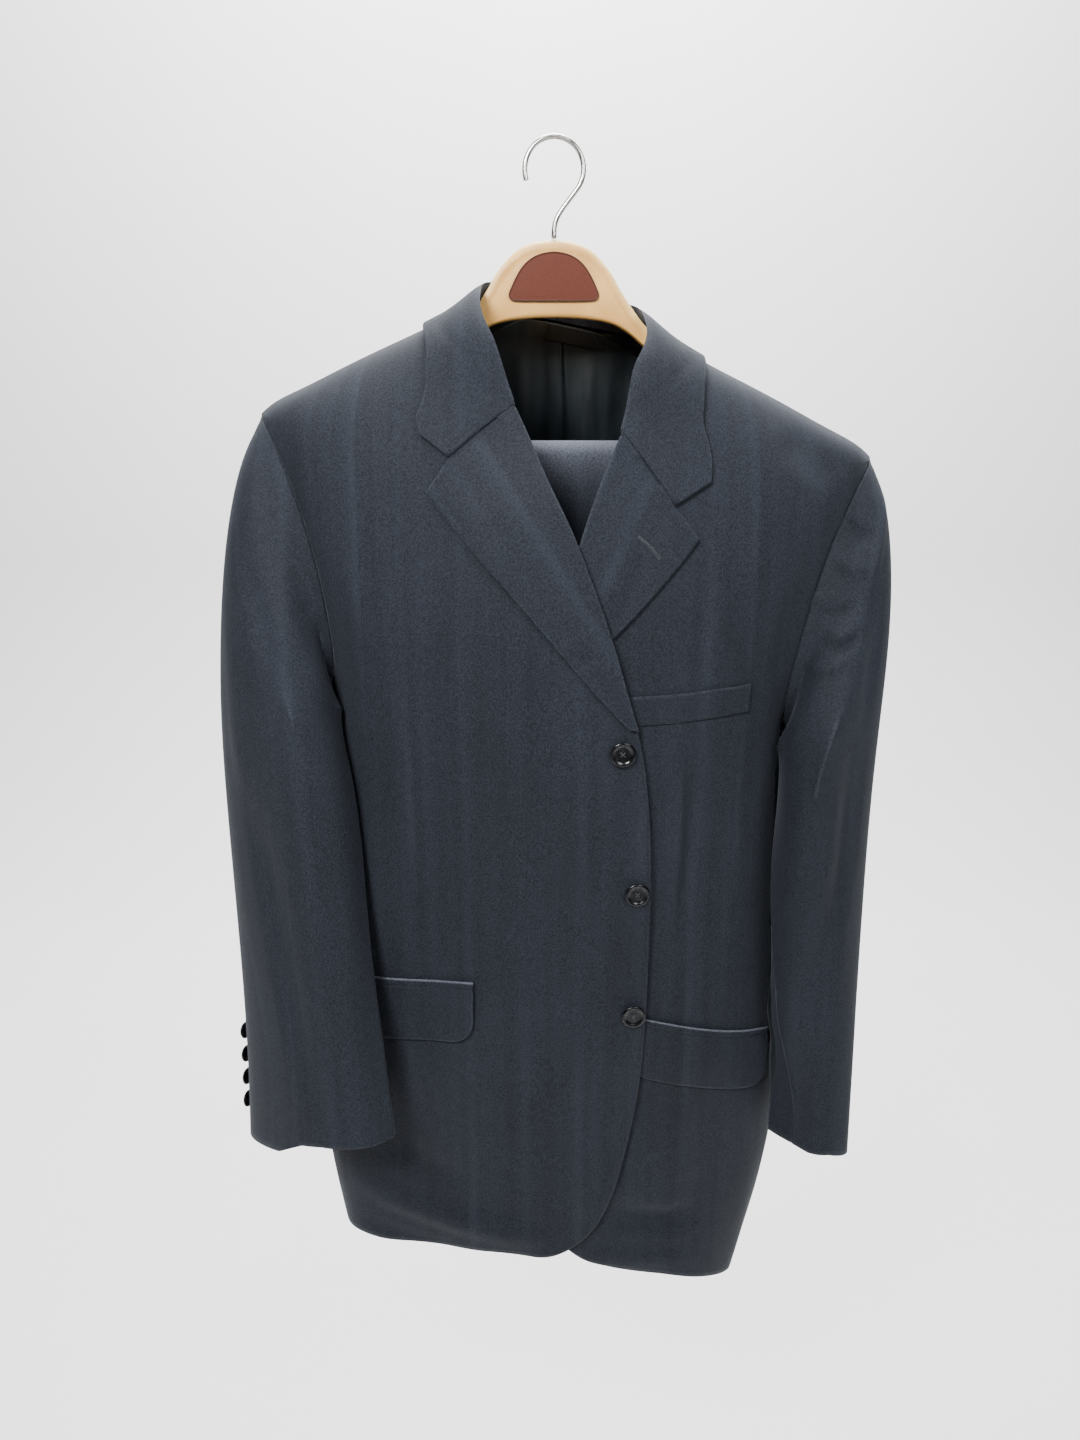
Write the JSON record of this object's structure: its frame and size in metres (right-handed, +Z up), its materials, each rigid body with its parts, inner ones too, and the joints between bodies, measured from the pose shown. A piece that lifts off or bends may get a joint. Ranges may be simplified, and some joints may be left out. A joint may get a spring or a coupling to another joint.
{
  "type": "suit on hanger",
  "caption": "Dark single-breasted suit jacket with notch lapels on a moulded hanger, its trousers folded over the hanger's bar inside it.",
  "frame": {"origin": "inside top of the hanger's hook, where a rail carries it", "axes": "+Z up the hook; -Y out of the jacket's front; +X towards the wearer's left"},
  "size_m": [0.5511, 0.2783, 0.9847],
  "materials": {
    "cloth": "dark navy charcoal worsted wool with a soft tonal stripe",
    "lining": "near black satin",
    "label": "bare dark woven label",
    "button": "dark polished horn-like plastic",
    "moulding": "cream tan moulded plastic",
    "inset": "bare brown panel",
    "wire": "bright plated wire"
  },
  "bodies": {
    "root": {"back_left": "cloth", "back_right": "cloth", "button_cuff_left_1": "button", "button_cuff_left_2": "button", "button_cuff_left_3": "button", "button_cuff_left_4": "button", "button_cuff_right_1": "button", "button_cuff_right_2": "button", "button_cuff_right_3": "button", "button_cuff_right_4": "button", "button_front_1": "button", "button_front_2": "button", "button_front_3": "button", "collar": "cloth", "flap_left": "cloth", "flap_right": "cloth", "front_left": "cloth", "front_right": "cloth", "hanger_bar": "moulding", "hanger_body": "moulding", "hanger_hook": "wire", "hanger_panel": "inset", "jet_left": "cloth", "jet_right": "cloth", "label_neck": "label", "lapel_left": "cloth", "lapel_right": "cloth", "lining_back_left": "lining", "lining_back_right": "lining", "side_left": "cloth", "side_right": "cloth", "sleeve_left_top": "cloth", "sleeve_left_under": "cloth", "sleeve_right_top": "cloth", "sleeve_right_under": "cloth", "trouser_leg_left": "cloth", "trouser_leg_right": "cloth", "trouser_waistband": "cloth", "welt_breast": "cloth"}
  },
  "joints": []
}
